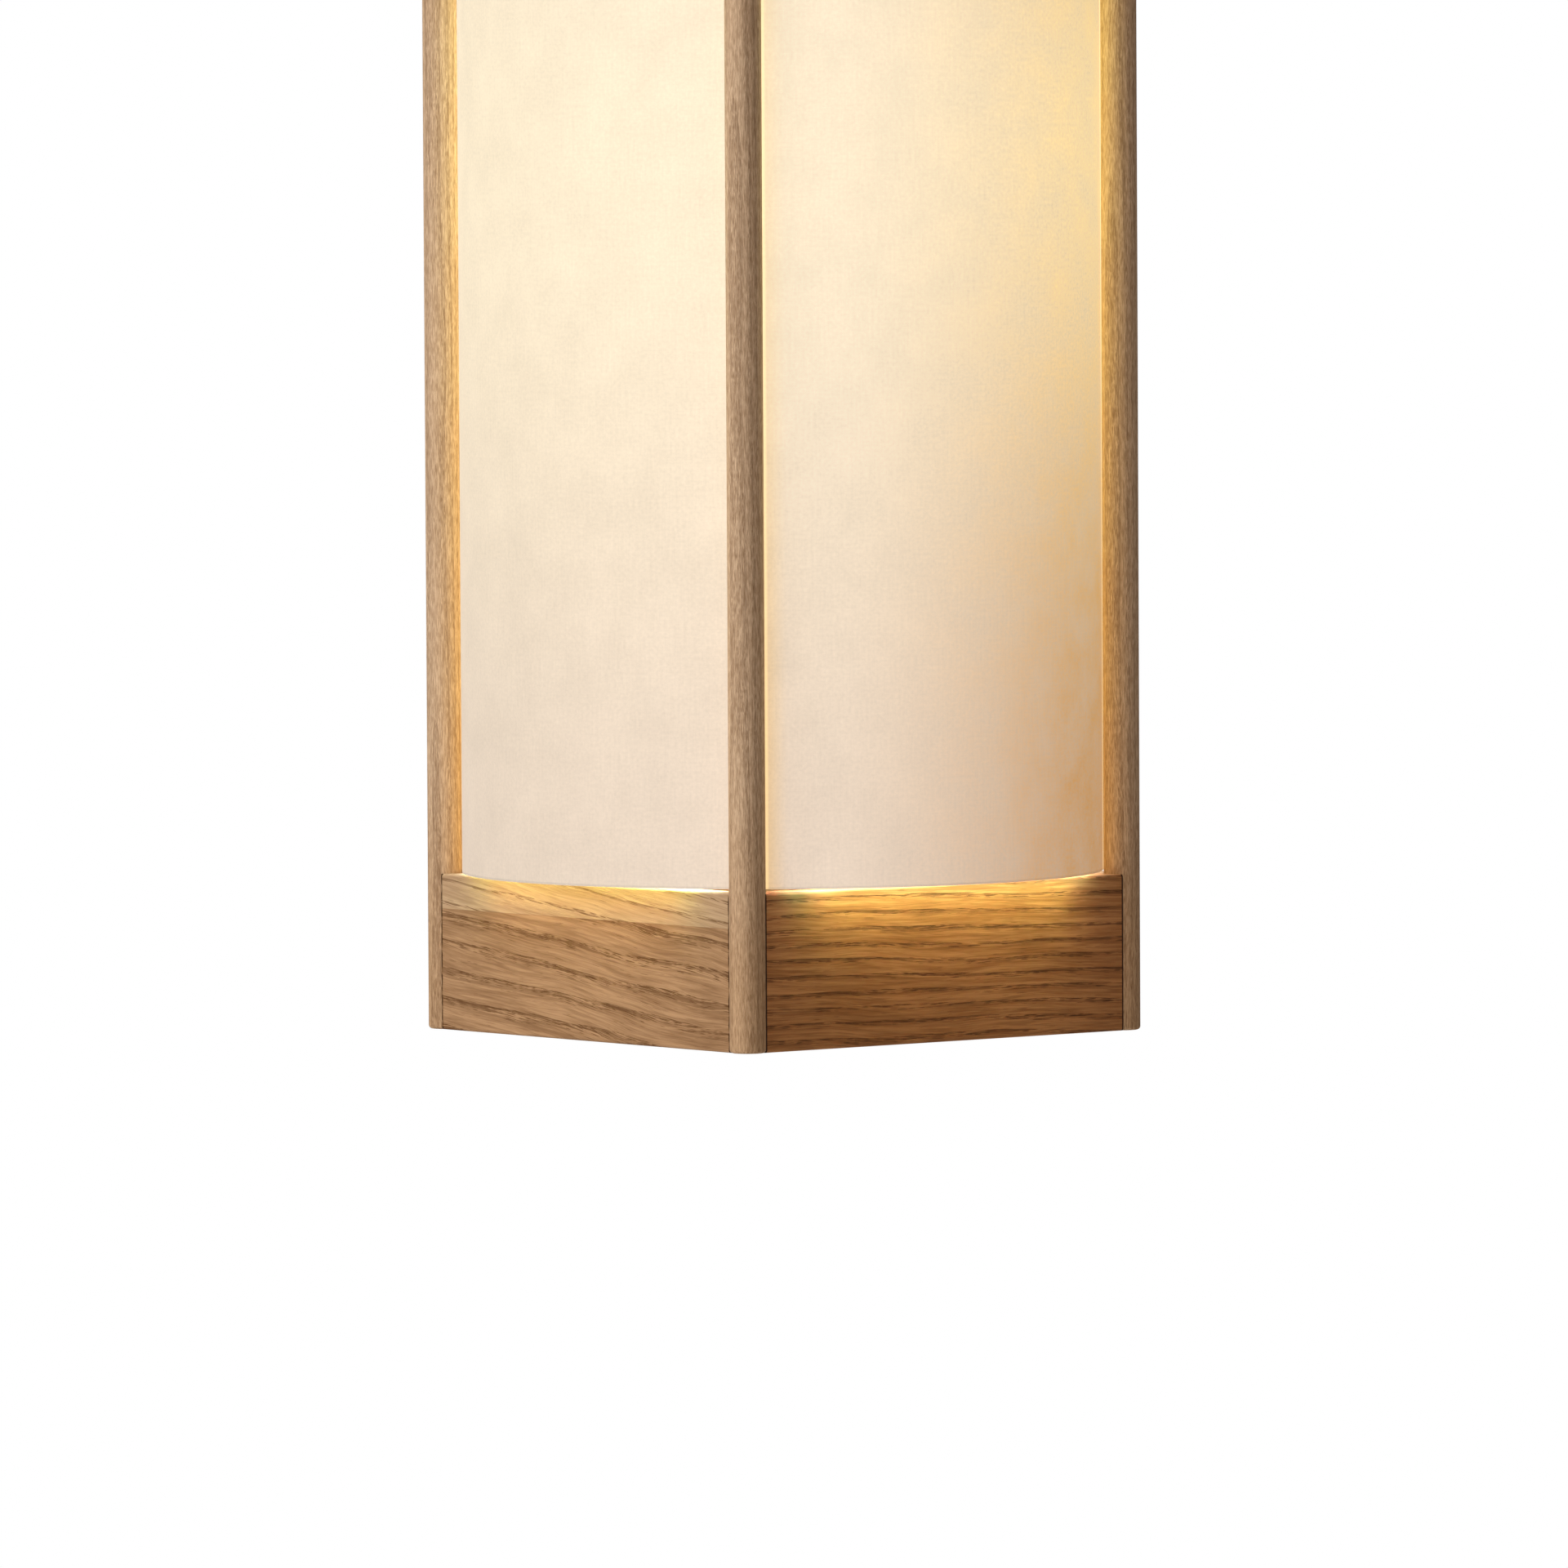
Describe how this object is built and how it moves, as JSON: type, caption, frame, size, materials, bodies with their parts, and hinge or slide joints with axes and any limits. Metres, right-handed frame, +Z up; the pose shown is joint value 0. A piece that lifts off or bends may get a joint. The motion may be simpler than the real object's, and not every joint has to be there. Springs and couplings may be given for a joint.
{
  "type": "wooden pendant light",
  "caption": "Square open lantern of round wooden posts and flat boards round a translucent drum shade, hung by a central cord gland, with a lampholder and lamp inside.",
  "frame": {"origin": "centre of the cord gland's mouth, the point the light hangs from", "axes": "+Z up along the cord, -Y the front, -X the left side; boards lie along X and Y"},
  "size_m": [0.267, 0.267, 0.5375],
  "materials": {
    "post_wood": "fine sanded, oiled",
    "board_wood": "flat-sawn ash, sanded, oiled",
    "dowel_wood": "fluted beech",
    "shade_sheet": "translucent parchment laminate, matt",
    "shade_wire": "white powder coat",
    "bar_steel": "white powder coat",
    "screw_steel": "zinc plated",
    "nipple_steel": "zinc plated",
    "gland_brass": "satin",
    "holder_body": "white phenolic moulding",
    "block_ceramic": "glazed",
    "contact_brass": "bright",
    "lamp_globe": "frosted diffuser",
    "lamp_housing": "white moulding",
    "lamp_board": "white solder mask",
    "lamp_cap_metal": "nickel plated",
    "lamp_insulator": "black vitrite"
  },
  "bodies": {
    "frame": {"centre_contact": "contact_brass", "contact_block": "block_ceramic", "cord_gland": "gland_brass", "gland_screw": "screw_steel", "hanger_bar": "bar_steel", "hanger_screws": "screw_steel", "holder_cap": "holder_body", "holder_skirt": "holder_body", "lower_board_back": "board_wood", "lower_board_front": "board_wood", "lower_board_left": "board_wood", "lower_board_right": "board_wood", "lower_dowels": "dowel_wood", "nipple": "nipple_steel", "nipple_nuts": "nipple_steel", "nipple_washers": "nipple_steel", "post_back_left": "post_wood", "post_back_right": "post_wood", "post_front_left": "post_wood", "post_front_right": "post_wood", "screw_shell": "contact_brass", "shade_carrier": "shade_wire", "shade_lower_hoop": "shade_wire", "shade_skin": "shade_sheet", "terminal_screws": "contact_brass", "upper_board_back": "board_wood", "upper_board_front": "board_wood", "upper_board_left": "board_wood", "upper_board_right": "board_wood", "upper_dowels": "dowel_wood"},
    "lamp_foot": {"lamp_insulator": "lamp_insulator", "lamp_contact": "contact_brass"},
    "lamp": {"lamp_globe": "lamp_globe", "lamp_housing": "lamp_housing", "lamp_led_board": "lamp_board", "lamp_cap": "lamp_cap_metal"},
    "shade_ring": {"shade_ring": "holder_body"}
  },
  "joints": [
    {"name": "lamp_travel", "type": "slide", "parent": "frame", "child": "lamp_foot", "axis": [0, 0, -1], "range_m": [0, 0.01814]},
    {"name": "lamp_turn", "type": "hinge", "parent": "lamp_foot", "child": "lamp", "pos_m": [0, 0, -0.1], "axis": [0, 0, -1], "range_deg": [0, 1800]},
    {"name": "shade_ring_travel", "type": "slide", "parent": "frame", "child": "shade_ring", "axis": [0, 0, -1], "range_m": [0, 0.012]}
  ],
  "couplings": [
    {"joint": "lamp_turn", "follows": "lamp_travel", "rad_per_m": 1731.4}
  ]
}
